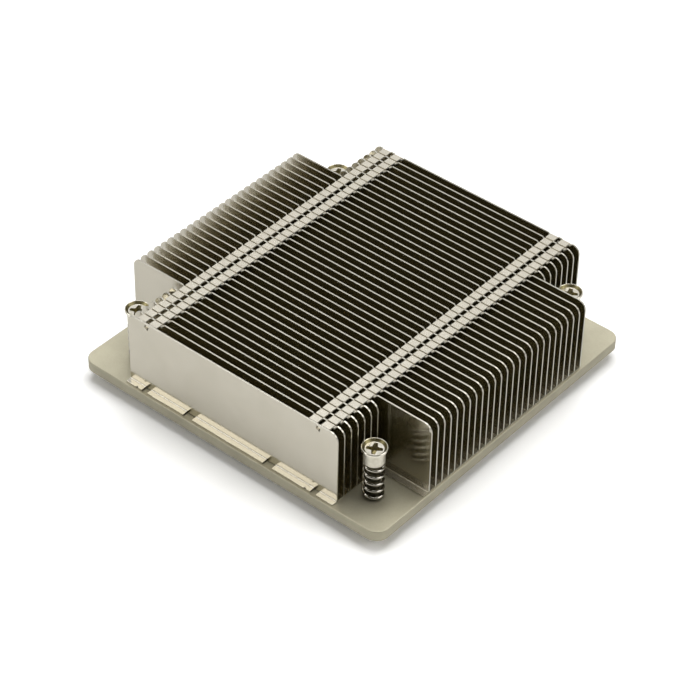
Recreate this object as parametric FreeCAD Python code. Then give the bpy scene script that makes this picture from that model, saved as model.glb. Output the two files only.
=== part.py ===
import FreeCAD, Part
import math
import os

# Passive heatsink for a server processor, for the low height of a slim rack.
# A plate carries a stack of folded sheet fins that lock into each other along
# two rows, and four captive spring screws stand in pockets at its corners.
# Millimetres. Z = 0 is the plate's contact face, X runs along the fins,
# and Y runs from the front of the stack to its back.

# Base plate
PLATE_SIDE = 95.0
PLATE_THICK = 3.0
PLATE_CORNER_R = 3.5
PLATE_EDGE_BREAK = 0.4

# Flat sides of the small round forms, apart from the thread and its bore
TURNED_SIDES = 16

# Captive screws, on the square hole pattern of the processor socket
SCREW_SPACING = 75.0
SCREW_TIP_REACH = 3.3
THREAD_R = 1.5
SHANK_R = 1.65
BORE_CLEARANCE = 0.3
COLLAR_R = 2.6
COLLAR_LENGTH = 3.4
HEAD_R = 3.2
HEAD_THICK = 1.1
RIM_WIDTH = 0.45
RIM_DEPTH = 0.3
RECESS_LENGTH = 3.9
RECESS_WIDTH = 0.85
RECESS_DEPTH = 1.5

# Retaining clip in the screw's groove, in a recess under the plate
CLIP_R = 3.3
CLIP_THICK = 0.5
CLIP_GROOVE_R = 1.15
CLIP_PLAY = 0.05
CLIP_MOUTH = 1.9
CLIP_RELIEF_DEPTH = 0.7
CLIP_RELIEF_WIDTH = 0.9
CLIP_SEAT_DEPTH = 0.8
CLIP_SEAT_PLAY = 0.25

# Compression spring between plate and collar
SPRING_HEIGHT = 10.5
SPRING_WIRE_R = 0.38
SPRING_COIL_R = 2.3
SPRING_TURNS = 5.6
SPRING_END_TURNS = 0.7
SPRING_END_RISE = 0.27
SPRING_SEAT_PLAY = 0.03
SPRING_STEPS_PER_TURN = 10
SPRING_WIRE_SIDES = 4

# Fin stack
FIN_THICK = 0.4
FIN_PITCH = 2.36
FIN_HEIGHT = 20.7
FIN_CORNER_R = 2.3
FIN_END_INSET = 0.5
STACK_MARGIN = 0.25
FIN_SEAM = 0.06
POCKET_ROOM_X = 1.3
POCKET_ROOM_Y = 2.3

# Lock rows along the top: two tabs, and below the gap between them a tongue
# that slopes down through the window of the fin in front
ROW_INSET = 6.0
TAB_WIDTH = 2.55
TAB_GAP = 1.0
TONGUE_PLAY = 0.1
TONGUE_DEPTH = 0.75
TONGUE_DROP = 0.75
TONGUE_REACH = 0.4
WINDOW_TOP_BAND = 0.45
WINDOW_PLAY = 0.1

# Foot flange on the plate, cut away in places
FOOT_GAP_X = 12.8
FOOT_GAP_WIDTH = 2.9
FOOT_LOCK_GAP_WIDTH = 1.8

# Places that follow from the sizes above
screw_offset = SCREW_SPACING / 2
short_half = screw_offset - HEAD_R - POCKET_ROOM_X
wide_half = PLATE_SIDE / 2 - FIN_END_INSET
pocket_y = screw_offset - HEAD_R - POCKET_ROOM_Y
row_x = short_half - ROW_INSET
tongue_top = FIN_HEIGHT - TONGUE_DEPTH
flange_reach = FIN_PITCH - FIN_THICK - FIN_SEAM
fin_count = int((PLATE_SIDE - 2 * STACK_MARGIN + FIN_SEAM) / FIN_PITCH)
stack_depth = fin_count * FIN_PITCH - FIN_SEAM
first_face_y = flange_reach - stack_depth / 2
collar_bottom = PLATE_THICK + SPRING_HEIGHT
head_bottom = collar_bottom + COLLAR_LENGTH
head_top = head_bottom + HEAD_THICK
clip_bottom = CLIP_SEAT_DEPTH - CLIP_THICK
groove_low = clip_bottom - CLIP_PLAY
groove_high = CLIP_SEAT_DEPTH + CLIP_PLAY

CORNERS = {
    "front_left": (-1, -1),
    "front_right": (1, -1),
    "back_left": (-1, 1),
    "back_right": (1, 1),
}


def vec(x, y, z):
    return FreeCAD.Vector(x, y, z)


def box(x0, x1, y0, y1, z0, z1):
    return Part.makeBox(x1 - x0, y1 - y0, z1 - z0, vec(x0, y0, z0))


def polygon_face(points):
    return Part.Face(Part.makePolygon(points + points[:1]))


def turned(radius, z0, z1):
    """Gives a small turned length about the Z axis, with flat sides."""
    corners = []
    for k in range(TURNED_SIDES):
        angle = 2 * math.pi * k / TURNED_SIDES
        corners.append(vec(radius * math.cos(angle), radius * math.sin(angle), z0))
    return polygon_face(corners).extrude(vec(0, 0, z1 - z0))


def rise_of(edge):
    return edge.BoundBox.ZLength


def placed(shape, x, y, z):
    copy = shape.copy()
    copy.translate(vec(x, y, z))
    return copy


# Base plate with rounded corners, broken edges, and for each screw a bore and a clip seat
def base_plate():
    half = PLATE_SIDE / 2
    plate = box(-half, half, -half, half, 0, PLATE_THICK)
    upright = [e for e in plate.Edges if rise_of(e) > PLATE_THICK / 2]
    plate = plate.makeFillet(PLATE_CORNER_R, upright)
    rims = [e for e in plate.Edges if rise_of(e) < PLATE_THICK / 2]
    plate = plate.makeChamfer(PLATE_EDGE_BREAK, rims)
    bore = Part.makeCylinder(SHANK_R + BORE_CLEARANCE, PLATE_THICK)
    seat = turned(CLIP_R + CLIP_SEAT_PLAY, 0, CLIP_SEAT_DEPTH)
    hole = bore.fuse(seat)
    for sx, sy in CORNERS.values():
        plate = plate.cut(placed(hole, sx * screw_offset, sy * screw_offset, 0))
    return plate


# Fin outline seen from the front: square foot, rounded upper corners
def fin_outline(half):
    top = FIN_HEIGHT
    r = FIN_CORNER_R
    low_left = vec(-half, 0, 0)
    low_right = vec(half, 0, 0)
    right_up = vec(half, 0, top - r)
    right_in = vec(half - r, 0, top)
    left_in = vec(-half + r, 0, top)
    left_up = vec(-half, 0, top - r)
    bulge = r * (1 - math.sqrt(0.5))
    right_mid = vec(half - bulge, 0, top - bulge)
    left_mid = vec(-half + bulge, 0, top - bulge)
    edges = [
        Part.LineSegment(low_left, low_right),
        Part.LineSegment(low_right, right_up),
        Part.Arc(right_up, right_mid, right_in),
        Part.LineSegment(right_in, left_in),
        Part.Arc(left_in, left_mid, left_up),
        Part.LineSegment(left_up, low_left),
    ]
    return Part.Face(Part.Wire([e.toShape() for e in edges]))


# Lock row: flat tabs that bridge to the fin in front, sloping tongue between
def lock_folds(x_row):
    folds = []
    for side in (-1, 1):
        inner = x_row + side * TAB_GAP / 2
        outer = inner + side * TAB_WIDTH
        x0, x1 = sorted((inner, outer))
        folds.append(box(x0, x1, -flange_reach, 0, FIN_HEIGHT - FIN_THICK, FIN_HEIGHT))
    left = x_row - TAB_GAP / 2 + TONGUE_PLAY
    width = TAB_GAP - 2 * TONGUE_PLAY
    tip_y = -FIN_PITCH - TONGUE_REACH
    side_view = [
        vec(left, 0, tongue_top),
        vec(left, tip_y, tongue_top - TONGUE_DROP),
        vec(left, tip_y, tongue_top - TONGUE_DROP - FIN_THICK),
        vec(left, 0, tongue_top - FIN_THICK),
    ]
    folds.append(polygon_face(side_view).extrude(vec(width, 0, 0)))
    return folds


# Window that takes the tongue of the fin behind. It ends below the fin's own
# tongue, and reaches up to the top band on a fin that has none.
def lock_window(x_row, has_tongue):
    half = TAB_GAP / 2
    front_drop = TONGUE_DROP * FIN_PITCH / (FIN_PITCH + TONGUE_REACH)
    low = tongue_top - FIN_THICK - front_drop - WINDOW_PLAY
    high = tongue_top - FIN_THICK if has_tongue else FIN_HEIGHT - WINDOW_TOP_BAND
    return box(x_row - half, x_row + half, 0, FIN_THICK, low, high)


# Foot flange: a strip on the plate, split at its gaps
def foot_flange(half, gaps):
    cuts = sorted((x - width / 2, x + width / 2) for x, width in gaps)
    ends = [-half] + [x for cut in cuts for x in cut] + [half]
    pieces = []
    for x0, x1 in zip(ends[0::2], ends[1::2]):
        pieces.append(box(x0, x1, -flange_reach, 0, 0, FIN_THICK))
    return pieces


# One folded fin, its front face at Y = 0 and its foot at Z = 0
def folded_fin(half, first=False):
    sheet = fin_outline(half).extrude(vec(0, FIN_THICK, 0))
    rows = (-row_x, row_x)
    for x in rows:
        sheet = sheet.cut(lock_window(x, has_tongue=not first))
    if first:
        gaps = [(side * FOOT_GAP_X, FOOT_GAP_WIDTH) for side in (-1, 1)]
        gaps += [(x, FOOT_LOCK_GAP_WIDTH) for x in rows]
        folds = foot_flange(half, gaps)
    else:
        folds = foot_flange(half, []) + lock_folds(-row_x) + lock_folds(row_x)
    return sheet.multiFuse(folds).removeSplitter()


def fin_places():
    """Lists each fin's name, half length and front face, from front to back."""
    places = []
    counts = {"front_fin": 0, "wide_fin": 0, "back_fin": 0}
    for k in range(fin_count):
        face_y = first_face_y + k * FIN_PITCH
        if face_y - flange_reach < -pocket_y:
            kind, half = "front_fin", short_half
        elif face_y + FIN_THICK > pocket_y:
            kind, half = "back_fin", short_half
        else:
            kind, half = "wide_fin", wide_half
        counts[kind] += 1
        places.append(("%s_%02d" % (kind, counts[kind]), half, face_y))
    return places


# Captive screw: thread, clip groove, shank, collar and rimmed round head
def captive_screw():
    rim_r = HEAD_R - RIM_WIDTH
    thread_length = SCREW_TIP_REACH + groove_low
    thread = Part.makeCylinder(THREAD_R, thread_length, vec(0, 0, -SCREW_TIP_REACH))
    lengths = [
        turned(CLIP_GROOVE_R, groove_low, groove_high),
        turned(SHANK_R, groove_high, collar_bottom),
        turned(COLLAR_R, collar_bottom, head_bottom),
        turned(HEAD_R, head_bottom, head_top),
    ]
    screw = thread.multiFuse(lengths)
    screw = screw.cut(turned(rim_r, head_top - RIM_DEPTH, head_top))
    long_half = RECESS_LENGTH / 2
    thin_half = RECESS_WIDTH / 2
    for hx, hy in ((long_half, thin_half), (thin_half, long_half)):
        screw = screw.cut(box(-hx, hx, -hy, hy, head_top - RECESS_DEPTH, head_top))
    return screw


# Open retaining clip that snaps into the groove from the side
def retaining_clip():
    grip_r = CLIP_GROOVE_R + CLIP_PLAY
    mouth = CLIP_MOUTH / 2
    relief = CLIP_RELIEF_WIDTH / 2
    reach = grip_r + CLIP_RELIEF_DEPTH
    clip = turned(CLIP_R, clip_bottom, CLIP_SEAT_DEPTH)
    clip = clip.cut(turned(grip_r, clip_bottom, CLIP_SEAT_DEPTH))
    clip = clip.cut(box(-mouth, mouth, 0, CLIP_R, clip_bottom, CLIP_SEAT_DEPTH))
    return clip.cut(box(-reach, reach, -relief, relief, clip_bottom, CLIP_SEAT_DEPTH))


# Height of the wire's centre along the spring: closed ends, open middle
def spring_rise(turn):
    low = SPRING_WIRE_R + SPRING_SEAT_PLAY
    high = SPRING_HEIGHT - SPRING_WIRE_R - SPRING_SEAT_PLAY
    if turn < SPRING_END_TURNS:
        return low + SPRING_END_RISE * turn / SPRING_END_TURNS
    if turn > SPRING_TURNS - SPRING_END_TURNS:
        return high - SPRING_END_RISE * (SPRING_TURNS - turn) / SPRING_END_TURNS
    part = (turn - SPRING_END_TURNS) / (SPRING_TURNS - 2 * SPRING_END_TURNS)
    return low + SPRING_END_RISE + (high - low - 2 * SPRING_END_RISE) * part


# Coil spring: the wire's section swept along a path of short straight runs
def coil_spring():
    steps = round(SPRING_TURNS * SPRING_STEPS_PER_TURN)
    path = []
    for k in range(steps + 1):
        turn = SPRING_TURNS * k / steps
        angle = 2 * math.pi * turn
        x = SPRING_COIL_R * math.cos(angle)
        y = SPRING_COIL_R * math.sin(angle)
        path.append(vec(x, y, spring_rise(turn)))
    section = []
    for j in range(SPRING_WIRE_SIDES):
        around = 2 * math.pi * (j + 0.5) / SPRING_WIRE_SIDES
        x = SPRING_COIL_R + SPRING_WIRE_R * math.cos(around)
        z = spring_rise(0) + SPRING_WIRE_R * math.sin(around)
        section.append(vec(x, 0, z))
    outline = Part.Wire(Part.makePolygon(section + section[:1]))
    return Part.Wire(Part.makePolygon(path)).makePipeShell([outline], True, False, 1)


def build():
    nodes = {"base_plate": base_plate()}
    wide = folded_fin(wide_half)
    short = folded_fin(short_half)
    end = folded_fin(short_half, first=True)
    for k, (name, half, face_y) in enumerate(fin_places()):
        shape = end if k == 0 else wide if half == wide_half else short
        nodes[name] = placed(shape, 0, face_y, PLATE_THICK)
    screw = captive_screw()
    clip = retaining_clip()
    spring = coil_spring()
    for corner, (sx, sy) in CORNERS.items():
        x = sx * screw_offset
        y = sy * screw_offset
        nodes["screw_" + corner] = placed(screw, x, y, 0)
        nodes["clip_" + corner] = placed(clip, x, y, 0)
        nodes["spring_" + corner] = placed(spring, x, y, PLATE_THICK)
    return nodes


os.makedirs("parts", exist_ok=True)
for node, solid in build().items():
    solid.exportStep("parts/%s.step" % node)
    print(node, len(solid.Solids), "solid", round(solid.Volume, 1), "mm3")
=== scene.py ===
# %% [markdown]
# # A passive heatsink for a server processor
# A square, nickel-plated plate carries forty folded sheet fins. Four captive spring
# screws stand in pockets at its corners, and an open clip holds each from below.
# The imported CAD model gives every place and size. This file dresses it: each cell
# makes one kind of piece or one finish, and says how the real one is made.

import math

import bmesh
import bpy
from mathutils import Matrix, Vector


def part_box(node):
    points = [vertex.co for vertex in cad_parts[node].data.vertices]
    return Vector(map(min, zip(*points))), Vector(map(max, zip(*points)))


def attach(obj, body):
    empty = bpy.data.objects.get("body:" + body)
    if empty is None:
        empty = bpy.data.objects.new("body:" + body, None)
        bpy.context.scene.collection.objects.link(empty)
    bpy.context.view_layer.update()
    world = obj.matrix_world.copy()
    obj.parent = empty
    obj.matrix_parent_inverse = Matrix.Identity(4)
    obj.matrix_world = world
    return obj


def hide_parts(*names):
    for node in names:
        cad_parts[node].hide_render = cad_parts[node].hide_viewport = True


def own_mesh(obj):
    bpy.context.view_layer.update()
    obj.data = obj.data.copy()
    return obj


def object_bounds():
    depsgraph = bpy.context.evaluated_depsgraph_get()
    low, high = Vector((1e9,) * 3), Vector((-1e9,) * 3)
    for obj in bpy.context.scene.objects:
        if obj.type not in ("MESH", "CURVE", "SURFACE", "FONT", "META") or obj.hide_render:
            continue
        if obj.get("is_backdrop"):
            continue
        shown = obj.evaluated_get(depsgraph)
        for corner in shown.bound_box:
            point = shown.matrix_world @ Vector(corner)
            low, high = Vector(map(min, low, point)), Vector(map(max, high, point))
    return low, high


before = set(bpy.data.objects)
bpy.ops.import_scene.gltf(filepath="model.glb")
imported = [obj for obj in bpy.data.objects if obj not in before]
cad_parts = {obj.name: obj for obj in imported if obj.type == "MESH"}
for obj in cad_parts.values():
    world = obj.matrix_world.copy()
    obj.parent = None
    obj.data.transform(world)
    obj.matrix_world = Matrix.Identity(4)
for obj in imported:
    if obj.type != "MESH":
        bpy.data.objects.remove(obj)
cad_box = [list(corner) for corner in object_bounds()]
MM = 0.001
print("CAD box in mm:", [[round(v / MM, 2) for v in corner] for corner in cad_box])

# %% [markdown]
# ## Sizes read from the frame
# A piece has to sit where its CAD solid sits. Numbers typed a second time could
# drift away from the solids, so places come from the boxes of the nodes, and only
# forms too small for the solids are typed here. `node_box` gives millimetres, which
# suit an object this small. The floor lies under the tips of the four screws.

# %% Places of the fins, the plate and the screws
def node_box(node):
    low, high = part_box(node)
    return low / MM, high / MM


def numbered(kind):
    return sorted(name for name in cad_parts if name.startswith(kind + "_fin_"))


CORNERS = ("front_left", "front_right", "back_left", "back_right")
FRONT_FINS, WIDE_FINS, BACK_FINS = (numbered(kind) for kind in ("front", "wide", "back"))
plate_high = node_box("base_plate")[1]
first_low, first_high = node_box(FRONT_FINS[0])
second_low, second_high = node_box(FRONT_FINS[1])
PLATE_TOP = plate_high.z
FIN_HEIGHT = first_high.z - first_low.z
FIN_PITCH = second_high.y - first_high.y
SHORT_HALF = first_high.x
WIDE_HALF = node_box(WIDE_FINS[0])[1].x
FLOOR_Z = min(node_box("screw_" + corner)[0].z for corner in CORNERS)
print("fins:", len(FRONT_FINS), len(WIDE_FINS), len(BACK_FINS), "pitch", round(FIN_PITCH, 3))

# %% [markdown]
# ## Small helpers for meshes
# Most pieces here are lists of points and faces, worked out in millimetres.
# `new_piece` writes them in metres and leaves the object at the origin, unturned
# and unscaled, because patterns on Object coordinates and the poses rely on that.
# `finished_mesh` keeps what the modifiers make as a plain mesh. `smooth_below`
# shades bends softly, and leaves an edge sharp where its faces turn by more.

# %% New pieces, and modifiers made into plain meshes
def new_piece(name, points, faces):
    mesh = bpy.data.meshes.new(name)
    mesh.from_pydata([Vector(p) * MM for p in points], [], faces)
    mesh.update()
    piece = bpy.data.objects.new(name, mesh)
    bpy.context.scene.collection.objects.link(piece)
    return piece


def finished_mesh(piece):
    settled = piece.evaluated_get(bpy.context.evaluated_depsgraph_get())
    mesh = bpy.data.meshes.new_from_object(settled)
    piece.modifiers.clear()
    piece.data = mesh
    return piece


def remove(piece):
    bpy.data.objects.remove(piece, do_unlink=True)


def count_triangles(piece):
    return sum(len(p.vertices) - 2 for p in piece.data.polygons)


# %% Direction of the faces, shading by angle, and softly broken edges
def face_outwards(piece):
    build = bmesh.new()
    build.from_mesh(piece.data)
    bmesh.ops.remove_doubles(build, verts=build.verts, dist=0.0005 * MM)
    bmesh.ops.recalc_face_normals(build, faces=build.faces)
    build.to_mesh(piece.data)
    build.free()


def smooth_below(piece, degrees):
    build = bmesh.new()
    build.from_mesh(piece.data)
    limit = math.radians(degrees)
    for face in build.faces:
        face.smooth = True
    for edge in build.edges:
        edge.smooth = len(edge.link_faces) == 2 and edge.calc_face_angle(0) < limit
    build.to_mesh(piece.data)
    build.free()


def bevel(piece, width, segments, degrees):
    soft = piece.modifiers.new("edge", "BEVEL")
    soft.width = width * MM
    soft.segments = segments
    soft.limit_method = "ANGLE"
    soft.angle_limit = math.radians(degrees)
    return soft


# %% [markdown]
# ## Shader maths that reads like sums
# A finish is a graph of nodes. Wired by hand it takes many lines, so `Wire` holds
# one output socket and knows +, - and *, also with a plain number on the left.
# `Finish` owns a material, and makes any other node from its type, its settings,
# and the values or wires for its inputs. Noise rarely leaves the span from 0.3 to
# 0.7, so `spread` stretches that span over the values that a finish needs.

# %% A class for sockets
class Wire:
    def __init__(self, finish, socket):
        self.finish = finish
        self.socket = socket

    def sum_of(self, operation, first, second):
        return self.finish.node("ShaderNodeMath", {"operation": operation}, {0: first, 1: second})

    def __add__(self, other):
        return self.sum_of("ADD", self, other)

    def __radd__(self, other):
        return self.sum_of("ADD", other, self)

    def __sub__(self, other):
        return self.sum_of("SUBTRACT", self, other)

    def __rsub__(self, other):
        return self.sum_of("SUBTRACT", other, self)

    def __mul__(self, other):
        return self.sum_of("MULTIPLY", self, other)

    def __rmul__(self, other):
        return self.sum_of("MULTIPLY", other, self)

    def between(self, low, high, new_low=0.0, new_high=1.0):
        values = {"Value": self, "From Min": low, "From Max": high}
        values |= {"To Min": new_low, "To Max": new_high}
        return self.finish.node("ShaderNodeMapRange", {"clamp": True}, values)

    def spread(self, new_low=0.0, new_high=1.0):
        return self.between(0.3, 0.7, new_low, new_high)


# %% A class for finishes
class Finish:
    def __init__(self, name, **constants):
        self.material = bpy.data.materials.new(name)
        self.material.use_nodes = True
        self.tree = self.material.node_tree
        self.shader = self.tree.nodes["Principled BSDF"]
        for socket, value in constants.items():
            self.shader.inputs[socket.replace("_", " ")].default_value = value

    def join(self, value, socket):
        if isinstance(value, Wire):
            self.tree.links.new(value.socket, socket)
        else:
            socket.default_value = value

    def node(self, kind, settings, values, output=0):
        made = self.tree.nodes.new(kind)
        for setting, value in settings.items():
            setattr(made, setting, value)
        for key, value in values.items():
            self.join(value, made.inputs[key])
        return Wire(self, made.outputs[output])

    def place(self):
        return self.node("ShaderNodeTexCoord", {}, {}, "Object")

    def stretched(self, scale):
        return self.node("ShaderNodeMapping", {}, {"Vector": self.place(), "Scale": scale})

    def noise(self, size, detail=2.0, place=None):
        values = {"Vector": place or self.place(), "Scale": 1.0 / (size * MM), "Detail": detail}
        return self.node("ShaderNodeTexNoise", {}, values)

    def mix(self, amount, first, second):
        settings = {"data_type": "RGBA"}
        return self.node("ShaderNodeMix", settings, {0: amount, 6: first, 7: second}, 2)

    def bump(self, height, depth, strength=1.0):
        values = {"Height": height, "Distance": depth * MM, "Strength": strength}
        return self.node("ShaderNodeBump", {}, values)

    def scattering(self, colour):
        return self.node("ShaderNodeBsdfDiffuse", {}, {"Color": colour})

    def ray(self, kind):
        return self.node("ShaderNodeLightPath", {}, {}, kind)

    def wire(self, socket, value):
        self.join(value, self.shader.inputs[socket])

    def show(self, shader):
        self.join(shader, self.tree.nodes["Material Output"].inputs["Surface"])

    def cover(self, film, share):
        """Lays a thin second finish over the first."""
        below = Wire(self, self.shader.outputs[0])
        self.show(self.node("ShaderNodeMixShader", {}, {0: share, 1: below, 2: film}))


# %% [markdown]
# ## Dull nickel for the plate
# The plate is plated and then left as it comes: a warm grey that scatters light.
# Metal with a fairly high roughness does that. Two noises tint it, a wide one for
# the clouds that a bath leaves and a fine one for the grain of the blank. A bump
# far smaller than a tenth of a millimetre breaks up the gloss.

# %% Plate finish
CLOUD_SIZE, BLANK_GRAIN = 9.0, 0.35
PLATE_DARK, PLATE_LIGHT = (0.33, 0.31, 0.235, 1), (0.44, 0.415, 0.318, 1)

plate_finish = Finish("dull_nickel", Metallic=1.0)
grain = plate_finish.noise(BLANK_GRAIN)
shade = plate_finish.noise(CLOUD_SIZE, 3.0) * 0.75 + grain * 0.25
plate_finish.wire("Base Color", plate_finish.mix(shade.spread(), PLATE_DARK, PLATE_LIGHT))
plate_finish.wire("Roughness", shade.spread(0.5, 0.62))
plate_finish.wire("Normal", plate_finish.bump(grain, 0.012))

# %% [markdown]
# ## Bright nickel for the fins
# The fins are thin rolled sheet with a bright plating, so their faces are nearly
# mirrors. Rolling leaves fine lines that run up the fin and smear each reflection
# sideways. A noise stretched along Z gives those lines, and only the bump uses it.
#
# The press rubs the flats that it folds, which leaves them satin. These flats also get
# a painted highlight: a paler colour that partly scatters, standing for the light that
# they mirror. A face attribute says how much: 0 on an upright face, and a part of 1 on
# tabs and feet. It raises the roughness, lets some of the metal turn to plain scattering
# in the paler colour, and takes most of the rolling lines away.
#
# Deep between two fins a perfect mirror would show pure black, but the real gaps
# keep a faint olive tint. A thin scattering film of that colour over the metal gives
# it, at a few parts in a hundred.

# %% Fin finish
FRESH_DARK, FRESH_LIGHT = (0.475, 0.452, 0.393, 1), (0.505, 0.482, 0.423, 1)
# Paler colours of the rubbed flats: partly satin, partly a painted highlight for the light they
# mirror.
SATIN_HIGHLIGHT_DARK, SATIN_HIGHLIGHT_LIGHT = (0.7, 0.66, 0.57, 1), (0.86, 0.82, 0.73, 1)
SPOT_SIZE, SATIN_GRAIN = 6.0, 0.3
ROLLING_LINE, LINE_STRETCH = 0.09, (1.0, 1.0, 0.015)
FILM_COLOUR, FILM_SHARE = (0.65, 0.53, 0.2, 1), 0.045

sheet_finish = Finish("bright_nickel_sheet", Specular_Tint=(1.0, 0.95, 0.8, 1))
rolling = sheet_finish.noise(ROLLING_LINE, 2.0, sheet_finish.stretched(LINE_STRETCH))
spots = sheet_finish.noise(SPOT_SIZE)
grain = sheet_finish.noise(SATIN_GRAIN)
# Face attribute for the rub and its painted highlight on the flats.
rub_and_highlight = sheet_finish.node("ShaderNodeAttribute", {"attribute_name": "rub_and_highlight"}, {}, "Fac")
fresh = sheet_finish.mix(spots.spread(), FRESH_DARK, FRESH_LIGHT)
satin_highlight = sheet_finish.mix(grain.between(0.35, 0.65), SATIN_HIGHLIGHT_DARK, SATIN_HIGHLIGHT_LIGHT)
sheet_finish.wire("Base Color", sheet_finish.mix(rub_and_highlight, fresh, satin_highlight))
sheet_finish.wire("Metallic", 1.0 - rub_and_highlight * 0.66)
sheet_finish.wire("Roughness", spots.spread(0.07, 0.11) + rub_and_highlight * 0.3)
sheet_finish.wire("Normal", sheet_finish.bump(rolling, 0.015, 1.0 - rub_and_highlight * 0.8))
sheet_finish.cover(sheet_finish.scattering(FILM_COLOUR), FILM_SHARE)

# %% [markdown]
# ## Cut edges
# The blanks are stamped out before plating. A stamped edge is torn for part of its
# thickness, so it is a little duller than the rolled face beside it. It gets a
# material of its own, because Solidify can give one to the rim that it makes.

# %% Cut edge finish
TEAR_SIZE = 0.12
EDGE_DARK, EDGE_LIGHT = (0.4, 0.385, 0.33, 1), (0.5, 0.48, 0.42, 1)

edge_finish = Finish("cut_sheet_edge", Metallic=1.0)
tearing = edge_finish.noise(TEAR_SIZE)
edge_finish.wire("Base Color", edge_finish.mix(tearing.between(0.35, 0.65), EDGE_DARK, EDGE_LIGHT))
edge_finish.wire("Roughness", tearing.spread(0.2, 0.32))
edge_finish.wire("Normal", edge_finish.bump(tearing, 0.008))

# %% [markdown]
# ## Screw, spring and clip metal
# Screws and springs are steel with a bright nickel plating, and the clips are plain
# spring steel, darker than the rest. One function makes them all, from two shades,
# a grain, and a roughness that follows it.
#
# The screw has three of these finishes. Its head is bright, and from just below the
# head down, the turned collar is satin: a step in height adds that roughness. The
# wall of the head's dish and the cross get a painted shade, dark and a little yellow,
# for the shade that falls in the recess. The shank inside the spring gets a greyer
# painted shade, so that it hardly mirrors the coils.

# %% Finishes of the small parts
HEAD_LOW = 17.3
COLLAR_TOP = HEAD_LOW - 0.02


def plated_steel(name, dark, light, size, smooth, dull, collar_satin=0.0):
    finish = Finish(name, Metallic=1.0)
    grain = finish.noise(size, 3.0)
    height = finish.node("ShaderNodeSeparateXYZ", {}, {0: finish.place()}, "Z")
    collar = height.between(HEAD_LOW * MM, COLLAR_TOP * MM) * collar_satin
    finish.wire("Base Color", finish.mix(grain.spread(), dark, light))
    finish.wire("Roughness", grain.spread(smooth, dull) + collar)
    finish.wire("Normal", finish.bump(grain, 0.004))
    return finish


screw_finish = plated_steel(
    "plated_screw", (0.6, 0.57, 0.47, 1), (0.72, 0.69, 0.61, 1), 0.8, 0.08, 0.18, collar_satin=0.35
)
# Painted shade, dark and a little yellow, for the shade in the cross and on the dish wall.
recess_shade_finish = plated_steel(
    "painted_recess_shade", (0.1, 0.085, 0.035, 1), (0.3, 0.26, 0.14, 1), 0.5, 0.3, 0.45
)
# Painted shade for the shank, which stands in the dark inside the spring.
shank_shade_finish = plated_steel(
    "shaded_shank", (0.1, 0.09, 0.06, 1), (0.16, 0.15, 0.11, 1), 0.6, 0.3, 0.4
)
spring_finish = plated_steel(
    "plated_wire", (0.42, 0.4, 0.35, 1), (0.52, 0.5, 0.45, 1), 0.5, 0.08, 0.14
)
clip_finish = plated_steel(
    "clip_steel", (0.3, 0.29, 0.27, 1), (0.42, 0.41, 0.39, 1), 0.6, 0.25, 0.4
)
print("finishes:", [m.name for m in bpy.data.materials if m.use_nodes])

# %% [markdown]
# ## The plate
# The plate is a square with rounded corners and a small break along its edges, four
# bores, and under each bore a round seat for a clip. A Bevel would make the broken
# edge too, but rings of points, each a little further out than the last, give its
# exact size. `skin_over` joins rings with faces, and serves screws and clips too.
# The bores come from a Boolean with plain turned cutters.

# %% Rings of points, and the skin over them
ARC_STEPS = 10
SUPPORT = 0.04


def rounded_square(half, radius, z):
    ring = []
    for quarter in range(4):
        turn = math.pi / 2 * quarter
        cx = (half - radius) * (1, -1, -1, 1)[quarter]
        cy = (half - radius) * (1, 1, -1, -1)[quarter]
        for step in range(ARC_STEPS + 1):
            angle = turn + math.pi / 2 * step / ARC_STEPS
            ring.append((cx + radius * math.cos(angle), cy + radius * math.sin(angle), z))
    return ring


def skin_over(rings):
    """Faces between rings that have the same number of points, closed at both ends."""
    count = len(rings[0])
    points = [p for ring in rings for p in ring]
    faces = [list(range(count))[::-1]]
    for level in range(len(rings) - 1):
        base = level * count
        for k in range(count):
            after = (k + 1) % count
            faces.append([base + k, base + after, base + count + after, base + count + k])
    faces.append([(len(rings) - 1) * count + k for k in range(count)])
    return points, faces


def turned(profile, x, y, sides=48):
    """A form turned on a lathe, from a list of (radius, height)."""
    rings = []
    for radius, z in profile:
        angles = [2 * math.pi * k / sides for k in range(sides)]
        rings.append([(x + radius * math.cos(a), y + radius * math.sin(a), z) for a in angles])
    return skin_over(rings)


# %% Plate with a broken edge
PLATE_CORNER_R = 3.5
PLATE_BREAK = 0.25
BREAK_STEPS = 3

levels = [(PLATE_BREAK + SUPPORT, 0.0)]
for step in range(BREAK_STEPS + 1):
    angle = math.pi / 2 * step / BREAK_STEPS
    levels.append((PLATE_BREAK * (1 - math.sin(angle)), PLATE_BREAK * (1 - math.cos(angle))))
levels.append((0.0, PLATE_BREAK + SUPPORT))
half_side = plate_high.x
rings = [rounded_square(half_side - d, PLATE_CORNER_R - d, z) for d, z in levels]
rings += [rounded_square(half_side - d, PLATE_CORNER_R - d, PLATE_TOP - z) for d, z in levels[::-1]]
plate = new_piece("plate", *skin_over(rings))

# %% Bores and clip seats
BORE_R = 1.95
SEAT_R = 3.55
SEAT_DEPTH = 0.8
screw_axis = {}
for corner in CORNERS:
    low, high = node_box("screw_" + corner)
    screw_axis[corner] = ((low.x + high.x) / 2, (low.y + high.y) / 2)


def cut_out(piece, cutter):
    cut = piece.modifiers.new("cut", "BOOLEAN")
    cut.object = cutter
    cut.solver = "EXACT"
    finished_mesh(piece)
    remove(cutter)


for corner, (x, y) in screw_axis.items():
    profile = [(SEAT_R, -1), (SEAT_R, SEAT_DEPTH), (BORE_R, SEAT_DEPTH), (BORE_R, PLATE_TOP + 1)]
    cut_out(plate, new_piece("cutter", *turned(profile, x, y, 64)))
smooth_below(plate, 35)
plate.data.materials.clear()
plate.data.materials.append(plate_finish.material)
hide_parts("base_plate")
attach(plate, "heatsink")
print("plate:", count_triangles(plate), "triangles")

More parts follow.
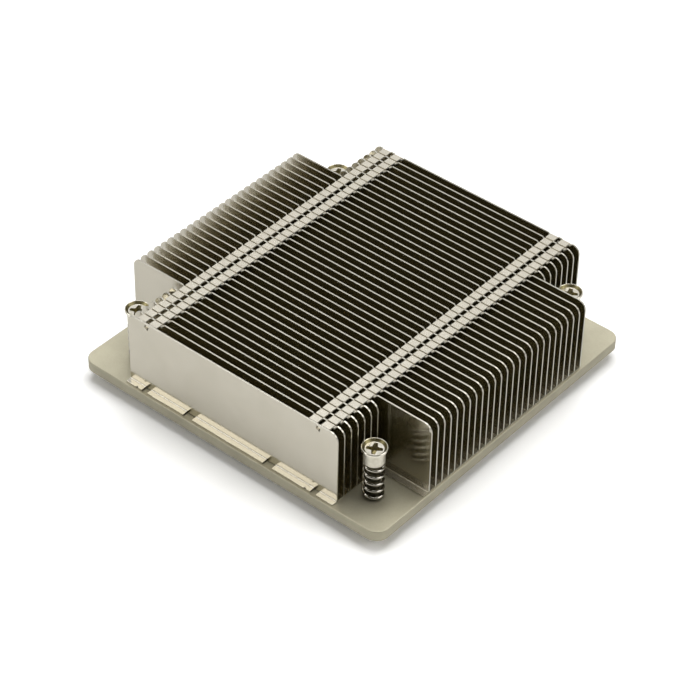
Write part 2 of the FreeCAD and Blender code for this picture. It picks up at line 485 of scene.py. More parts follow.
# %% [markdown]
# ## One folded fin
# A fin starts as a flat blank, stamped out of thin sheet. A press folds its foot
# forward, so that it lies on the plate and can be soldered, and folds two pairs of
# tabs forward along the top. Between the tabs of a pair, a tongue is pushed out of a
# window and hooks into the window of the fin in front, which locks the stack.
#
# A fin could be built of thick boxes, but each bend would then need corrections.
# Here the blank is a grid of cells without thickness, and a rule says for each line
# of points where the folding takes it. Solidify gives it its thickness later.
#
# The first fin has nothing to lock into, so it has windows with a slot above them
# and no tabs. Its foot is shorter than the others, has four gaps, and two nicks in
# its front edge. Wherever a fin stands free, the bend of its foot is a little wider.

# %% Sizes of the sheet and its folds
SHEET = 0.4
SHEET_MIDDLE = SHEET / 2
FOLD_R, BEND_STEPS = 0.24, 3
OPEN_FOLD_R, OPEN_BEND_STEPS = 0.45, 5
TONGUE_FOLD_R = 0.3
CORNER_R, CORNER_STEPS = 2.3, 6
SHOULDER = FIN_HEIGHT - SHEET_MIDDLE - FOLD_R
TONGUE_ROOT = FIN_HEIGHT - 1.3 + TONGUE_FOLD_R
WINDOW_LOW = 18.81
TAB_REACH = first_high.y - first_low.y - SHEET
TONGUE_REACH = second_high.y - second_low.y - SHEET
NIB_REACH = 0.75
SHORT_FOOT_REACH = 1.55
NICK_DEPTH = 0.3
print("tabs reach", round(TAB_REACH, 2), "and tongues", round(TONGUE_REACH, 2))

# %% Where the tabs, notches, gaps and nicks are along a fin
ROW_X = SHORT_HALF - 6.0
TONGUE_HALF = 0.4
TAB_INNER, TAB_OUTER = 0.6, 3.05
NOTCH_START, NOTCH_END = 3.3, 3.7
NIB_X0, NIB_X1 = 3.22, 3.52
SLOT_X0, SLOT_X1 = -0.45, 0.0
NICKS = [(-ROW_X - 2.7, -ROW_X - 2.2), (ROW_X - 2.7, ROW_X - 2.2)]
GAP_WIDTHS = {12.8: 2.9, ROW_X: 1.8}
FOOT_GAPS = sorted(
    (side * x - width / 2, side * x + width / 2)
    for x, width in GAP_WIDTHS.items()
    for side in (-1, 1)
)


def from_row(x):
    """Distance from the middle of the nearer row of tabs."""
    return x - (ROW_X if x > 0 else -ROW_X)


def in_tab(side):
    return TAB_INNER < abs(side) < TAB_OUTER


def in_notch(side):
    return TAB_OUTER < side < NOTCH_END or -NOTCH_START < side < -TAB_OUTER


def lies_in(x, spans):
    return any(low < x < high for low, high in spans)


# %% The blank as a grid: its columns, and how high each one reaches
HAIR = 0.001


def upper_edge(x, half, locks):
    corner = abs(x) - (half - CORNER_R)
    if corner > 0:
        return FIN_HEIGHT - CORNER_R + math.sqrt(max(CORNER_R**2 - corner**2, 0))
    if locks and -NOTCH_START - HAIR < from_row(x) < -TAB_OUTER + HAIR:
        return SHOULDER
    return FIN_HEIGHT


def column_lines(half, foot_gaps):
    """Every x at which a cell starts or ends."""
    lines = {-half, half, -half + CORNER_R, half - CORNER_R}
    for step in range(1, CORNER_STEPS + 1):
        offset = CORNER_R * (1 - math.sin(math.pi / 2 * step / CORNER_STEPS))
        lines |= {-half + offset, half - offset}
    for row in (-ROW_X, ROW_X):
        for x in (TAB_INNER, TONGUE_HALF, TAB_OUTER):
            lines |= {row - x, row + x}
        lines |= {row - NOTCH_END, row - NOTCH_START, row + NOTCH_END}
        lines |= {row + NIB_X0, row + NIB_X1, row + SLOT_X0, row + SLOT_X1}
    for low, high in list(foot_gaps) + (NICKS if foot_gaps else []):
        lines |= {low, high}
    return sorted(lines)


# %% A sheet as cells that share their corners
class Blank:

    def __init__(self):
        self.points = []
        self.faces = []
        self.index = {}

    def number_of(self, spot):
        key = tuple(round(v, 4) for v in spot)
        if key not in self.index:
            self.index[key] = len(self.points)
            self.points.append(spot)
        return self.index[key]

    def cell(self, corners):
        ring = list(dict.fromkeys(self.number_of(corner) for corner in corners))
        if len(ring) > 2:
            self.faces.append(ring)

    def strip(self, x0, x1, path):
        for (ya, za), (yb, zb) in zip(path, path[1:]):
            self.cell([(x0, ya, za), (x1, ya, za), (x1, yb, zb), (x0, yb, zb)])


# %% Side views of what is folded: foot, tab, nib and tongue
def bend_lengths(radius, steps):
    """Lengths along a quarter bend, and one just past it, which keeps the shading even."""
    quarter = radius * math.pi / 2
    return [quarter * k / steps for k in range(steps + 1)] + [quarter + SUPPORT]


def folded(lengths, radius, root, up, reach):
    """The (y, z) of points at these lengths past the root of a forward bend; up is 1 or -1."""
    quarter = radius * math.pi / 2
    path = []
    for length in lengths:
        if length < quarter:
            angle = length / radius
            back, rise = radius * (1 - math.cos(angle)), radius * math.sin(angle)
            path.append((SHEET_MIDDLE - back, root + up * rise))
        else:
            flat = SHEET_MIDDLE - radius - (length - quarter)
            path.append((max(flat, -reach), root + up * radius))
    return path


def side_views(open_fold, short_foot):
    """Each one as a list of (y, z), from the upright sheet to its free end."""
    radius, steps = (OPEN_FOLD_R, OPEN_BEND_STEPS) if open_fold else (FOLD_R, BEND_STEPS)
    reach = SHORT_FOOT_REACH if short_foot else TAB_REACH
    foot = folded(bend_lengths(radius, steps), radius, SHEET_MIDDLE + radius, -1, reach)
    if short_foot:
        foot.append((NICK_DEPTH - reach, SHEET_MIDDLE))
    foot.append((-reach, SHEET_MIDDLE))
    lengths = bend_lengths(FOLD_R, BEND_STEPS) + [FOLD_R * math.pi / 2 + TAB_REACH]
    tab = folded(lengths, FOLD_R, SHOULDER, 1, TAB_REACH)
    nib = folded(lengths, FOLD_R / 2, SHOULDER, 1, NIB_REACH)
    lengths = bend_lengths(TONGUE_FOLD_R, BEND_STEPS)
    lengths.append(TONGUE_FOLD_R * math.pi / 2 + TONGUE_REACH + SHEET_MIDDLE)
    tongue = folded(lengths, TONGUE_FOLD_R, TONGUE_ROOT, -1, TONGUE_REACH)
    return foot, tab, nib, tongue


# %% [markdown]
# A fin is filled column by column. Every strip of cells has to be wound the same
# way, or Solidify would push some of them to the wrong side and leave the fin open.
# All paths are therefore walked upwards. Foot and tongue lead down from the upright
# sheet, so these two are turned round first.

# %% The cells of a fin
def foot_cells(blank, x0, x1, foot, foot_gaps):
    middle = (x0 + x1) / 2
    if lies_in(middle, foot_gaps):
        blank.strip(x0, x1, [(SHEET_MIDDLE, SHEET_MIDDLE), foot[0]])
    elif foot_gaps and lies_in(middle, NICKS):
        blank.strip(x0, x1, foot[-2::-1])
    else:
        blank.strip(x0, x1, foot[::-1])


def upright_cells(blank, x0, x1, low_end, half, locks):
    side = from_row((x0 + x1) / 2)
    top0, top1 = upper_edge(x0, half, locks), upper_edge(x1, half, locks)
    rows = [low_end, low_end + SUPPORT, WINDOW_LOW, TONGUE_ROOT]
    rows += [SHOULDER - SUPPORT, SHOULDER, FIN_HEIGHT]
    for low, high in zip(rows, rows[1:]):
        window = low == WINDOW_LOW and abs(side) < TAB_INNER
        slot = low == TONGUE_ROOT and not locks and SLOT_X0 < side < SLOT_X1
        folded_away = low == SHOULDER and locks and (in_tab(side) or in_notch(side))
        if not (window or slot or folded_away):
            left, right = (x0, SHEET_MIDDLE, min(low, top0)), (x1, SHEET_MIDDLE, min(low, top1))
            above = [(x1, SHEET_MIDDLE, min(high, top1)), (x0, SHEET_MIDDLE, min(high, top0))]
            blank.cell([left, right] + above)


def folded_fin(name, half, foot_gaps=(), locks=True, open_fold=False):
    foot, tab, nib, tongue = side_views(open_fold, bool(foot_gaps))
    blank = Blank()
    lines = column_lines(half, foot_gaps)
    for x0, x1 in zip(lines, lines[1:]):
        side = from_row((x0 + x1) / 2)
        foot_cells(blank, x0, x1, foot, foot_gaps)
        upright_cells(blank, x0, x1, foot[0][1], half, locks)
        if locks and in_tab(side):
            blank.strip(x0, x1, tab)
        if locks and in_notch(side) and NIB_X0 < side < NIB_X1:
            blank.strip(x0, x1, nib)
        if locks and abs(side) < TONGUE_HALF:
            blank.strip(x0, x1, tongue[::-1])
    return new_piece(name, blank.points, blank.faces)


# %% [markdown]
# ## Thickness, broken edges and the note of the rub and its painted highlight
# Solidify puts half of the thickness on each side, and gives its rim the material of
# the cut edges. A Bevel takes the razor look off them. Its width is an upper bound:
# Blender's overlap clamp keeps it to what the narrowest cell leaves, some thousandths
# of a millimetre, which is just enough to catch a line of light.
#
# Two face attributes then go with the mesh. `cut_edge` marks the rim, apart from
# the front ends of the tabs and of the first foot, which the press has rubbed and
# which share the painted highlight. The other attribute holds the rub and its painted
# highlight, and is what the fin finish reads. It has its own strength on the tabs, on
# the first foot, and on the feet of the wide fins where they lie in a pocket.

# %% Strengths of the rub and its painted highlight, and the finishing of a fin
EDGE_BREAK = 0.05
TAB_RUB_AND_HIGHLIGHT, FIRST_FOOT_RUB_AND_HIGHLIGHT, POCKET_FOOT_RUB_AND_HIGHLIGHT = 0.36, 0.25, 0.35
POCKET_START = SHORT_HALF + 0.5


# How strong the rub and its painted highlight are on each part of a fin.
def rub_and_highlight_at(spot, free_foot):
    if spot.z > FIN_HEIGHT / 2:
        return TAB_RUB_AND_HIGHLIGHT
    if free_foot and spot.z > 0:
        return FIRST_FOOT_RUB_AND_HIGHLIGHT
    return POCKET_FOOT_RUB_AND_HIGHLIGHT * (abs(spot.x) > POCKET_START)


def note_faces(piece, free_foot):
    lowest_end = 0.0 if free_foot else FIN_HEIGHT / 2
    cut_edge, rub_and_highlight = [], []
    for face in piece.data.polygons:
        is_end = abs(face.normal.y) > 0.5 and face.center.z > lowest_end * MM
        on_rim = face.material_index == 1
        # Flats facing up or down, and the rubbed ends, get the painted highlight.
        flat = float(is_end) if on_rim else min(1.0, abs(face.normal.z) * 1.5)
        cut_edge.append(on_rim and not is_end)
        rub_and_highlight.append(flat * rub_and_highlight_at(face.center / MM, free_foot))
    for name, kind, values in (("cut_edge", "BOOLEAN", cut_edge), ("rub_and_highlight", "FLOAT", rub_and_highlight)):
        piece.data.attributes.new(name, kind, "FACE").data.foreach_set("value", values)


def thicken(piece, free_foot=False):
    thick = piece.modifiers.new("sheet", "SOLIDIFY")
    thick.thickness = SHEET * MM
    thick.offset = 0.0
    thick.use_even_offset = True
    thick.material_offset_rim = 1
    bevel(piece, EDGE_BREAK, 1, 60).material = 1
    piece.data.materials.append(sheet_finish.material)
    piece.data.materials.append(edge_finish.material)
    finished_mesh(piece)
    smooth_below(piece, 40)
    note_faces(piece, free_foot)
    return piece


# %% The four kinds of fin
first_fin = folded_fin("first_fin", SHORT_HALF, FOOT_GAPS, locks=False, open_fold=True)
thicken(first_fin, free_foot=True)
first_wide = thicken(folded_fin("first_wide", WIDE_HALF, open_fold=True))
short_fin = thicken(folded_fin("short_fin", SHORT_HALF))
wide_fin = thicken(folded_fin("wide_fin", WIDE_HALF))
for fin in (first_fin, first_wide, short_fin, wide_fin):
    print(fin.name, count_triangles(fin), "triangles")

# %% [markdown]
# ## Fins in a row
# The stack repeats one fin at an even pitch, which is what Geometry Nodes do best:
# a line of points, one fin on each, made real at the end. A hand-loaded stack is
# never quite even, so each fin also gets a tiny random shift from a fixed seed.
# `Tree` is to geometry what `Finish` is to shaders. Its `run` sets the inputs by
# their identifiers, before anything is evaluated, and keeps a plain mesh.

# %% A class for node trees that make geometry
class Tree:
    def __init__(self, name, inputs):
        self.group = bpy.data.node_groups.new(name, "GeometryNodeTree")
        face = self.group.interface
        face.new_socket("Geometry", in_out="INPUT", socket_type="NodeSocketGeometry")
        face.new_socket("Geometry", in_out="OUTPUT", socket_type="NodeSocketGeometry")
        for label, kind in inputs.items():
            face.new_socket(label, in_out="INPUT", socket_type="NodeSocket" + kind)
        self.start = self.group.nodes.new("NodeGroupInput")
        self.end = self.group.nodes.new("NodeGroupOutput")

    def given(self, label):
        return self.start.outputs[label]

    def node(self, kind, settings, values, output=0):
        made = self.group.nodes.new(kind)
        for setting, value in settings.items():
            setattr(made, setting, value)
        for key, value in values.items():
            if isinstance(value, bpy.types.NodeSocket):
                self.group.links.new(value, made.inputs[key])
            else:
                made.inputs[key].default_value = value
        return made.outputs[output]

    def maths(self, operation, *values):
        return self.node("ShaderNodeMath", {"operation": operation}, dict(enumerate(values)))

    def painted(self, geometry, label, **selection):
        values = {"Geometry": geometry, "Material": self.given(label)} | selection
        return self.node("GeometryNodeSetMaterial", {}, values)

    def finish(self, geometry):
        self.group.links.new(geometry, self.end.inputs[0])

    def run(self, name, values):
        """Makes a piece from the tree, with its inputs set, as a plain mesh."""
        piece = new_piece(name, [], [])
        modifier = piece.modifiers.new("tree", "NODES")
        modifier.node_group = self.group
        for item in self.group.interface.items_tree:
            if item.in_out == "INPUT" and item.name in values:
                modifier[item.identifier] = values[item.name]
        return finished_mesh(piece)


# %% A node tree that stacks fins
inputs = {"Fin": "Object", "Count": "Int", "Start": "Vector", "Pitch": "Float"}
inputs |= {"Unevenness": "Float", "Seed": "Int", "Sheet": "Material", "Cut edge": "Material"}
stack = Tree("fin_stack", inputs)
pitch = stack.node("ShaderNodeCombineXYZ", {}, {"Y": stack.given("Pitch")})
line = stack.node(
    "GeometryNodeMeshLine",
    {"mode": "OFFSET"},
    {"Count": stack.given("Count"), "Start Location": stack.given("Start"), "Offset": pitch},
)
spread = stack.given("Unevenness")
shift = stack.node(
    "FunctionNodeRandomValue",
    {"data_type": "FLOAT"},
    {2: stack.maths("MULTIPLY", spread, -1.0), 3: spread, "Seed": stack.given("Seed")},
    1,
)
shift = stack.node("ShaderNodeCombineXYZ", {}, {"Y": shift})
line = stack.node("GeometryNodeSetPosition", {}, {"Geometry": line, "Offset": shift})
shape = stack.node("GeometryNodeObjectInfo", {}, {"Object": stack.given("Fin")}, "Geometry")
fins = stack.node("GeometryNodeInstanceOnPoints", {}, {"Points": line, "Instance": shape})
fins = stack.node("GeometryNodeRealizeInstances", {}, {"Geometry": fins})
rim = stack.node("GeometryNodeInputNamedAttribute", {"data_type": "BOOLEAN"}, {"Name": "cut_edge"})
stack.finish(stack.painted(stack.painted(fins, "Sheet"), "Cut edge", Selection=rim))

# %% [markdown]
# Five stacks make the forty fins. The first fin and the first wide one differ from
# their neighbours, so each of the two is a stack of one, without any shift.

# %% Five stacks, from front to back
UNEVENNESS = 0.02


def stack_fins(name, fin, nodes, unevenness, seed):
    low, high = node_box(nodes[0])
    start = Vector((0, high.y - SHEET, low.z)) * MM
    values = {
        "Fin": fin,
        "Count": len(nodes),
        "Start": tuple(start),
        "Pitch": FIN_PITCH * MM,
        "Unevenness": unevenness * MM,
        "Seed": seed,
        "Sheet": sheet_finish.material,
        "Cut edge": edge_finish.material,
    }
    piece = stack.run(name, values)
    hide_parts(*nodes)
    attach(piece, "heatsink")
    print(name, len(nodes), "fins,", count_triangles(piece), "triangles")


stack_fins("front_fin", first_fin, FRONT_FINS[:1], 0.0, 1)
stack_fins("front_stack", short_fin, FRONT_FINS[1:], UNEVENNESS, 2)
stack_fins("pocket_fin", first_wide, WIDE_FINS[:1], 0.0, 5)
stack_fins("wide_stack", wide_fin, WIDE_FINS[1:], UNEVENNESS, 3)
stack_fins("back_stack", short_fin, BACK_FINS, UNEVENNESS, 4)
for fin in (first_fin, first_wide, short_fin, wide_fin):
    remove(fin)

# %% [markdown]
# ## The springs
# A compression spring is one wire, wound with closed ends and an open middle. These
# are wound left-handed, so the turn counts backwards, and START_TURN says at which
# part of a turn the lower end of the wire lies. The centre line follows a rule, the
# turn and the height of each point, so a node tree suits it: a line of points is
# moved onto the helix and gets a round section. Each spring is a piece of its own,
# because each is pressed by its own screw.

# %% Sizes of a spring, and the inputs of its tree
SPRING_TURNS, CLOSED_TURNS = 5.6, 0.7
CLOSED_RISE = 0.27
START_TURN = 0.41
COIL_R, WIRE_R = 2.3, 0.38
STEPS_PER_TURN, WIRE_SIDES = 32, 12

inputs = {"Centre": "Vector", "Height": "Float", "Coil radius": "Float"}
inputs |= {"Wire radius": "Float", "Turns": "Float", "Closed turns": "Float"}
inputs |= {"Closed rise": "Float", "Steps": "Int", "Wire": "Material"}
winding = Tree("spring_winding", inputs)
print("spring tree with", len(inputs), "inputs")

# %% [markdown]
# The height of a point is the sum of three climbs: a slow one over the closed turns
# at the bottom, a quick one over the open turns, and a slow one at the top. Map Range
# with its clamp gives each climb, because it stays level outside its span.

# %% Turn and height of each point on the wire
steps, turns, closed = (winding.given(name) for name in ("Steps", "Turns", "Closed turns"))
rise, coil = winding.given("Closed rise"), winding.given("Coil radius")
number = winding.node("GeometryNodeInputIndex", {}, {})
share = winding.maths("DIVIDE", number, winding.maths("SUBTRACT", steps, 1.0))
turn = winding.maths("MULTIPLY", share, turns)
open_end = winding.maths("SUBTRACT", turns, closed)
closed_rises = winding.maths("MULTIPLY", rise, 2.0)
open_rise = winding.maths("SUBTRACT", winding.given("Height"), closed_rises)


def climb(start, end, rise):
    values = {"Value": turn, "From Min": start, "From Max": end, "To Max": rise}
    return winding.node("ShaderNodeMapRange", {"clamp": True}, values)


height = winding.maths("ADD", climb(0.0, closed, rise), climb(closed, open_end, open_rise))
height = winding.maths("ADD", height, climb(open_end, turns, rise))

# %% The helix, and the wire along it
line = winding.node("GeometryNodeMeshLine", {}, {"Count": steps})
curve = winding.node("GeometryNodeMeshToCurve", {}, {"Mesh": line})
angle = winding.maths("MULTIPLY", winding.maths("ADD", turn, START_TURN), -2 * math.pi)
across = winding.maths("MULTIPLY", winding.maths("COSINE", angle), coil)
along = winding.maths("MULTIPLY", winding.maths("SINE", angle), coil)
helix = winding.node("ShaderNodeCombineXYZ", {}, {"X": across, "Y": along, "Z": height})
centred = {0: helix, 1: winding.given("Centre")}
helix = winding.node("ShaderNodeVectorMath", {"operation": "ADD"}, centred)
curve = winding.node("GeometryNodeSetPosition", {}, {"Geometry": curve, "Position": helix})
section = {"Resolution": WIRE_SIDES, "Radius": winding.given("Wire radius")}
section = winding.node("GeometryNodeCurvePrimitiveCircle", {}, section)
swept = {"Curve": curve, "Profile Curve": section, "Fill Caps": True}
wire = winding.node("GeometryNodeCurveToMesh", {}, swept)
wire = winding.node("GeometryNodeRealizeInstances", {}, {"Geometry": wire})
winding.finish(winding.painted(wire, "Wire"))

# %% Four springs, each flattened by its screw
for corner, (x, y) in screw_axis.items():
    low, high = node_box("spring_" + corner)
    values = {
        "Centre": tuple(Vector((x, y, low.z + WIRE_R)) * MM),
        "Height": (high.z - low.z - 2 * WIRE_R) * MM,
        "Coil radius": COIL_R * MM,
        "Wire radius": WIRE_R * MM,
        "Turns": SPRING_TURNS,
        "Closed turns": CLOSED_TURNS,
        "Closed rise": CLOSED_RISE * MM,
        "Steps": round(SPRING_TURNS * STEPS_PER_TURN) + 1,
        "Wire": spring_finish.material,
    }
    spring = winding.run("coil_" + corner, values)
    face_outwards(spring)
    smooth_below(spring, 50)
    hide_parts("spring_" + corner)
    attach(spring, "heatsink")
    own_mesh(spring)
print("spring:", count_triangles(spring), "triangles")

# %% [markdown]
# ## The captive screws
# A screw is turned on a lathe: a shank, a smooth collar that holds the spring, and a
# round head. The head has a flat rim round a dish with a sloping wall, and a narrow
# neck groove below it. An outline, turned round the axis, gives all of that. The
# cross is pressed in with a tapered punch, so a Boolean with a tapered cross does the
# same here. The thread is a true helix, made as one more stack of rings.

# %% Outline of the screw, from the clip groove up to the floor of the dish
screw_low, screw_high = node_box("screw_front_left")
HEAD_TOP = screw_high.z
HEAD_R = (screw_high.x - screw_low.x) / 2
RIM_R = HEAD_R - 0.26
HEAD_FLOOR, FLOOR_R = HEAD_TOP - 0.6, 2.3
COLLAR_LOW, COLLAR_R = 13.5, 2.6
NECK_R = COLLAR_R - 0.2
SHANK_R = 1.65
GROOVE_LOW, GROOVE_HIGH, GROOVE_R = 0.25, 0.85, 1.15
shank_outline = [
    (GROOVE_R, GROOVE_LOW - 0.3),
    (GROOVE_R, GROOVE_HIGH),
    (SHANK_R - 0.12, GROOVE_HIGH),
    (SHANK_R, GROOVE_HIGH + 0.12),
    (SHANK_R, COLLAR_LOW),
]
collar_outline = [
    (COLLAR_R - 0.22, COLLAR_LOW),
    (COLLAR_R - 0.06, COLLAR_LOW + 0.08),
    (COLLAR_R, COLLAR_LOW + 0.25),
    (COLLAR_R, HEAD_LOW - 0.2),
    (NECK_R, HEAD_LOW - 0.15),
    (NECK_R, HEAD_LOW),
]
head_outline = [
    (HEAD_R - 0.15, HEAD_LOW),
    (HEAD_R, HEAD_LOW + 0.15),
    (HEAD_R, HEAD_TOP - 0.25),
    (HEAD_R - 0.03, HEAD_TOP - 0.1),
    (HEAD_R - 0.1, HEAD_TOP - 0.02),
    (HEAD_R - 0.13, HEAD_TOP),
    (RIM_R, HEAD_TOP),
    (RIM_R - 0.03, HEAD_TOP - 0.05),
    (FLOOR_R, HEAD_FLOOR),
]


def with_support(profile):
    """Adds a point close to each end of a long run, so that shading stays even on it."""
    out = [profile[0]]
    for (r0, z0), (r1, z1) in zip(profile, profile[1:]):
        length = math.hypot(r1 - r0, z1 - z0)
        if length > 6 * SUPPORT:
            share = SUPPORT / length
            for t in (share, 1 - share):
                out.append((r0 + (r1 - r0) * t, z0 + (z1 - z0) * t))
        out.append((r1, z1))
    return out


screw_profile = with_support(shank_outline + collar_outline + head_outline)
print("screw outline:", len(screw_profile), "points")

# %% The punch for the cross
RECESS_HALF, RECESS_SLOT = 2.05, 0.45
RECESS_TURN = math.radians(29.4)
RECESS_DEPTH = 1.4
TIP_REACH, TIP_SLOT = 0.45, 0.55


def cross_punch(x, y):
    """A cross that narrows towards its tip, as the driver does."""
    tip = (HEAD_FLOOR - RECESS_DEPTH, RECESS_HALF * TIP_REACH, RECESS_SLOT * TIP_SLOT)
    mouth = (HEAD_FLOOR + 0.1, RECESS_HALF, RECESS_SLOT)
    rings = []
    for z, reach, slot in (tip, mouth):
        quarter = [(reach, -slot), (reach, slot), (slot * 1.5, slot * 1.5)]
        ring = []
        for turn in range(4):
            angle = RECESS_TURN + math.pi / 2 * turn
            c, s = math.cos(angle), math.sin(angle)
            ring += [(x + c * px - s * py, y + s * px + c * py, z) for px, py in quarter]
        rings.append(ring)
    return skin_over(rings)


# %% The thread
THREAD_R, THREAD_DEPTH, THREAD_PITCH = 1.5, 0.28, 0.5
THREAD_SIDES, THREAD_STEPS = 36, 8


def thread_rings(x, y, low, high):
    """Rings whose radius follows a ridge that climbs one pitch a turn, and fades at both ends."""
    count = round((high - low) / THREAD_PITCH * THREAD_STEPS)
    rings = []
    for level in range(count + 1):
        z = low + (high - low) * level / count
        fade = min(1.0, (z - low) / THREAD_PITCH + 0.2, (high - z) / THREAD_PITCH + 0.2)
        ring = []
        for k in range(THREAD_SIDES):
            angle = 2 * math.pi * k / THREAD_SIDES
            phase = (z / THREAD_PITCH - k / THREAD_SIDES) % 1.0
            ridge = min(1.0, 1.6 * (1 - abs(2 * phase - 1)))
            radius = THREAD_R - THREAD_DEPTH + THREAD_DEPTH * ridge * fade
            ring.append((x + radius * math.cos(angle), y + radius * math.sin(angle), z))
        rings.append(ring)
    return rings


# %% [markdown]
# Head, collar and shank form one body, and the thread below the clip groove joins it
# in the same mesh, because a screw is one piece. The place of each face says which
# of the three finishes it has: plated metal, the painted shade in the recess, or the
# painted shade on the shank.

# %% Four screws
SMALL_BREAK = 0.05


def points_and_faces(piece):
    faces = [list(p.vertices) for p in piece.data.polygons]
    return [tuple(v.co / MM) for v in piece.data.vertices], faces


def joined(name, parts):
    points, faces = [], []
    for more_points, more_faces in parts:
        base = len(points)
        points += more_points
        faces += [[base + k for k in face] for face in more_faces]
    return new_piece(name, points, faces)


def screw_zone(spot, x, y):
    """0 for plated metal, 1 for the painted shade of cross and dish wall, 2 for the painted shade
    of the shank.
    """
    away = math.hypot(spot.x - x, spot.y - y)
    cross = away < FLOOR_R - 0.1 and HEAD_FLOOR - RECESS_DEPTH - 0.1 < spot.z < HEAD_FLOOR - 0.01
    dish_wall = away < RIM_R and HEAD_FLOOR + 0.01 < spot.z < HEAD_TOP - 0.04
    shank = away < SHANK_R + 0.01 and GROOVE_HIGH < spot.z < COLLAR_LOW
    return 2 if shank else int(cross or dish_wall)


for corner, (x, y) in screw_axis.items():
    body = new_piece("body", *turned(screw_profile, x, y))
    cut_out(body, new_piece("punch", *cross_punch(x, y)))
    thread = skin_over(thread_rings(x, y, FLOOR_Z, GROOVE_LOW))
    screw = joined("sprung_screw_" + corner, [points_and_faces(body), thread])
    remove(body)
    face_outwards(screw)
    bevel(screw, SMALL_BREAK, 2, 50)
    finished_mesh(screw)
    smooth_below(screw, 40)
    for finish in (screw_finish, recess_shade_finish, shank_shade_finish):
        screw.data.materials.append(finish.material)
    for face in screw.data.polygons:
        face.use_smooth = abs(face.normal.z) < 0.999
        face.material_index = screw_zone(face.center / MM, x, y)
    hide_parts("screw_" + corner)
    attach(screw, "screw_" + corner)
print("screw:", count_triangles(screw), "triangles")

# %% [markdown]
# ## The retaining clips
# An open clip snaps into the groove from the side and keeps the screw captive. It is
# stamped: an outer round, a mouth, and an inner round that grips the groove and is
# relieved on both sides. Both rounds are walked together, so that one list of points
# gives the whole outline. Extruding it between two levels makes the clip.

# %% Four clips
CLIP_R, GRIP_R = 3.3, 1.2
MOUTH_HALF = 0.95
RELIEF_DEPTH, RELIEF_START, RELIEF_SLOPE = 0.65, 0.86, 1.6
CLIP_STEPS = 72


def clip_outline(x, y, z):
    outer, inner = [], []
    outer_start = math.asin(MOUTH_HALF / CLIP_R)
    inner_start = math.asin(MOUTH_HALF / GRIP_R)
    for k in range(CLIP_STEPS + 1):
        share = k / CLIP_STEPS
        out = math.pi / 2 + outer_start + (2 * math.pi - 2 * outer_start) * share
        turn = math.pi / 2 + inner_start + (2 * math.pi - 2 * inner_start) * share
        relief = max(0.0, abs(math.cos(turn)) - RELIEF_START) / (1 - RELIEF_START)
        radius = GRIP_R + RELIEF_DEPTH * min(1.0, relief * RELIEF_SLOPE)
        outer.append((x + CLIP_R * math.cos(out), y + CLIP_R * math.sin(out), z))
        inner.append((x + radius * math.cos(turn), y + radius * math.sin(turn), z))
    return outer + inner[::-1]


for corner, (x, y) in screw_axis.items():
    low, high = node_box("clip_" + corner)
    rings = [clip_outline(x, y, z) for z in (low.z, high.z)]
    clip = new_piece("open_clip_" + corner, *skin_over(rings))
    face_outwards(clip)
    bevel(clip, SMALL_BREAK, 2, 50)
    finished_mesh(clip)
    smooth_below(clip, 40)
    clip.data.materials.append(clip_finish.material)
    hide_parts("clip_" + corner)
    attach(clip, "clip_" + corner)
print("clip:", count_triangles(clip), "triangles")

# %% [markdown]
# ## The floor
# The heatsink stands on a white sweep, a sheet of paper far larger than the view.
# The floor only scatters light, so it keeps the shadow. Rays from the camera find it
# a little whiter than it is, as on a photograph that was printed out to white, and so
# do reflections in the metal. No lamp has to burn it out for that.

# %% Floor and its finish
FLOOR_HALF = 3000.0
FLOOR_PLAIN, FLOOR_SEEN, FLOOR_MIRRORED = 0.88, 1.25, 1.04
PAPER_GRAIN = 40.0

corners = [(-FLOOR_HALF, -FLOOR_HALF, FLOOR_Z), (FLOOR_HALF, -FLOOR_HALF, FLOOR_Z)]
corners += [(FLOOR_HALF, FLOOR_HALF, FLOOR_Z), (-FLOOR_HALF, FLOOR_HALF, FLOOR_Z)]
floor = new_piece("floor", corners, [[0, 1, 2, 3]])
floor_finish = Finish("white_sweep")
speck = floor_finish.noise(PAPER_GRAIN).between(0.2, 0.8, 0.98, 1.0)
seen = floor_finish.ray("Is Camera Ray")
mirrored = floor_finish.ray("Is Glossy Ray") + floor_finish.ray("Is Transmission Ray")
level = FLOOR_PLAIN + seen * (FLOOR_SEEN - FLOOR_PLAIN) + mirrored * (FLOOR_MIRRORED - FLOOR_PLAIN)
level = level * speck
grey = {"Red": level, "Green": level, "Blue": level}
white = floor_finish.node("ShaderNodeCombineColor", {}, grey)
floor_finish.show(floor_finish.scattering(white))
floor.data.materials.append(floor_finish.material)
floor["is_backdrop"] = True
print("floor at", round(FLOOR_Z, 2), "mm")

# %% [markdown]
# ## What the world shows
# Polished fins are mostly a picture of what stands around them, so the world is as
# much a part of their look as their finish. It fills the shadows at a low, plain
# level. Reflections see another thing: a studio that is bright behind the heatsink,
# dim at the sides, and dark with a warm tint where the camera stands. That darkness
# gives the gaps between the fins their depth. The camera itself sees plain white.

# %% World
WORLD_LEVEL = 0.1
DARK_SIDE = Vector((0.5, -0.62, 0.6)).normalized()
BRIGHT_SIDE = Vector((-0.48, 0.59, 0.65)).normalized()
WARM = (1.0, 0.93, 0.68, 1)
world = bpy.data.worlds.new("studio")
bpy.context.scene.world = world
world.use_nodes = True


class Sky(Finish):
    """The world's node tree, with the same methods as a finish."""

    def __init__(self, made):
        self.tree = made.node_tree
        self.shader = self.tree.nodes["Background"]

    def facing(self, side):
        """1 towards that side, 0 square to it, -1 away from it."""
        toward = self.node("ShaderNodeTexCoord", {}, {}, "Generated")
        settings = {"operation": "DOT_PRODUCT"}
        return self.node("ShaderNodeVectorMath", settings, {0: toward, 1: side}, "Value")


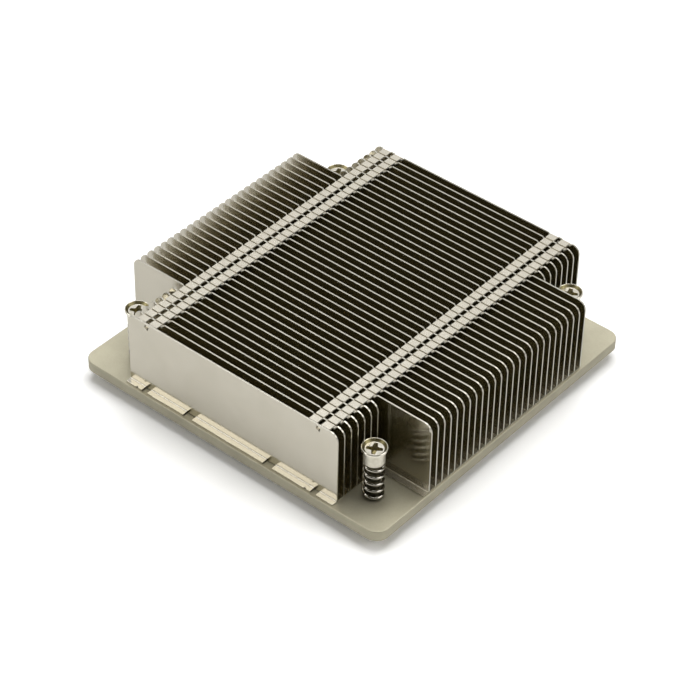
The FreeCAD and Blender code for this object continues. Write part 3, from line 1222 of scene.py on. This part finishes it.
sky = Sky(world)
to_camera = sky.facing(DARK_SIDE)
behind = sky.facing(BRIGHT_SIDE)
studio = behind.between(0.3, 0.9, 0.45, 1.0) * to_camera.between(0.2, 0.75, 1.0, 0.13)
sky.wire("Color", sky.mix(to_camera.between(0.2, 0.75), (1, 1, 1, 1), WARM))
seen = sky.ray("Is Camera Ray")
mirrored = sky.ray("Is Glossy Ray") + sky.ray("Is Transmission Ray")
level = WORLD_LEVEL + (studio - WORLD_LEVEL) * mirrored
sky.wire("Strength", level + (1.0 - level) * seen)

# %% [markdown]
# ## Lamps
# The photograph has soft shadows and broad highlights, so its lights were large.
# Three area lamps stand for them. The overhead one makes the shadow below the plate.
# The left one stands where the first foot mirrors it onto the front face and from
# there to the camera, which makes the foot and the strip above it the brightest
# metal in the picture. The right one lights the plate and the ends of the fins.

# %% Three soft boxes
def softbox(name, place, width, depth, watts):
    lamp = bpy.data.lights.new(name, "AREA")
    lamp.shape = "RECTANGLE"
    lamp.size = width
    lamp.size_y = depth
    lamp.energy = watts
    holder = bpy.data.objects.new(name, lamp)
    bpy.context.scene.collection.objects.link(holder)
    holder.location = place
    holder.rotation_euler = (-Vector(place)).to_track_quat("-Z", "Y").to_euler()
    print(name, "lamp of", watts, "W")


softbox("overhead", (-0.1, 0.3, 1.4), 1.2, 1.2, 18.5)
softbox("left", (-0.85, -0.86, 0.93), 0.8, 0.8, 6.2)
softbox("right", (1.0, 0.42, 0.8), 0.9, 0.6, 5.4)

# %% [markdown]
# ## Camera
# The place of the camera was worked out from the straight edges of the object in
# the photograph: its direction, its small roll, its distance, and the angle of view
# of a long lens. Light may bounce 24 times, because a ray that enters the gap between
# two fins is mirrored many times before it comes out again.

# %% Camera
CAMERA_AZIMUTH = math.radians(39.45)
CAMERA_ELEVATION = math.radians(40.40)
CAMERA_ROLL = math.radians(1.29)
CAMERA_DISTANCE = 0.6338
CAMERA_TARGET = Vector((0.08, -1.66, 3.0)) * MM
CAMERA_LENS = 131.6
BOUNCES = 24
a, e, r = CAMERA_AZIMUTH, CAMERA_ELEVATION, CAMERA_ROLL
forward = Vector((-math.sin(a) * math.cos(e), math.cos(a) * math.cos(e), -math.sin(e)))
right = forward.cross(Vector((0, 0, 1))).normalized()
up = right.cross(forward)
camera_x = right * math.cos(r) + up * math.sin(r)
camera_y = -right * math.sin(r) + up * math.cos(r)
lens = bpy.data.cameras.new("camera")
lens.lens = CAMERA_LENS
lens.sensor_width = 36.0
lens.clip_start = 0.01
camera = bpy.data.objects.new("camera", lens)
bpy.context.scene.collection.objects.link(camera)
placed = Matrix((camera_x, camera_y, -forward)).transposed().to_4x4()
placed.translation = CAMERA_TARGET - forward * CAMERA_DISTANCE
camera.matrix_world = placed
bpy.context.scene.camera = camera
bpy.context.scene.view_settings.view_transform = "Standard"
bpy.context.scene.cycles.max_bounces = BOUNCES
bpy.context.scene.cycles.glossy_bounces = BOUNCES

# %% Size of the dressed model beside the CAD box
dressed_box = [list(corner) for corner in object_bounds()]
for name, box in (("CAD", cad_box), ("dressed", dressed_box)):
    print(name, [[round(v / MM, 3) for v in corner] for corner in box])
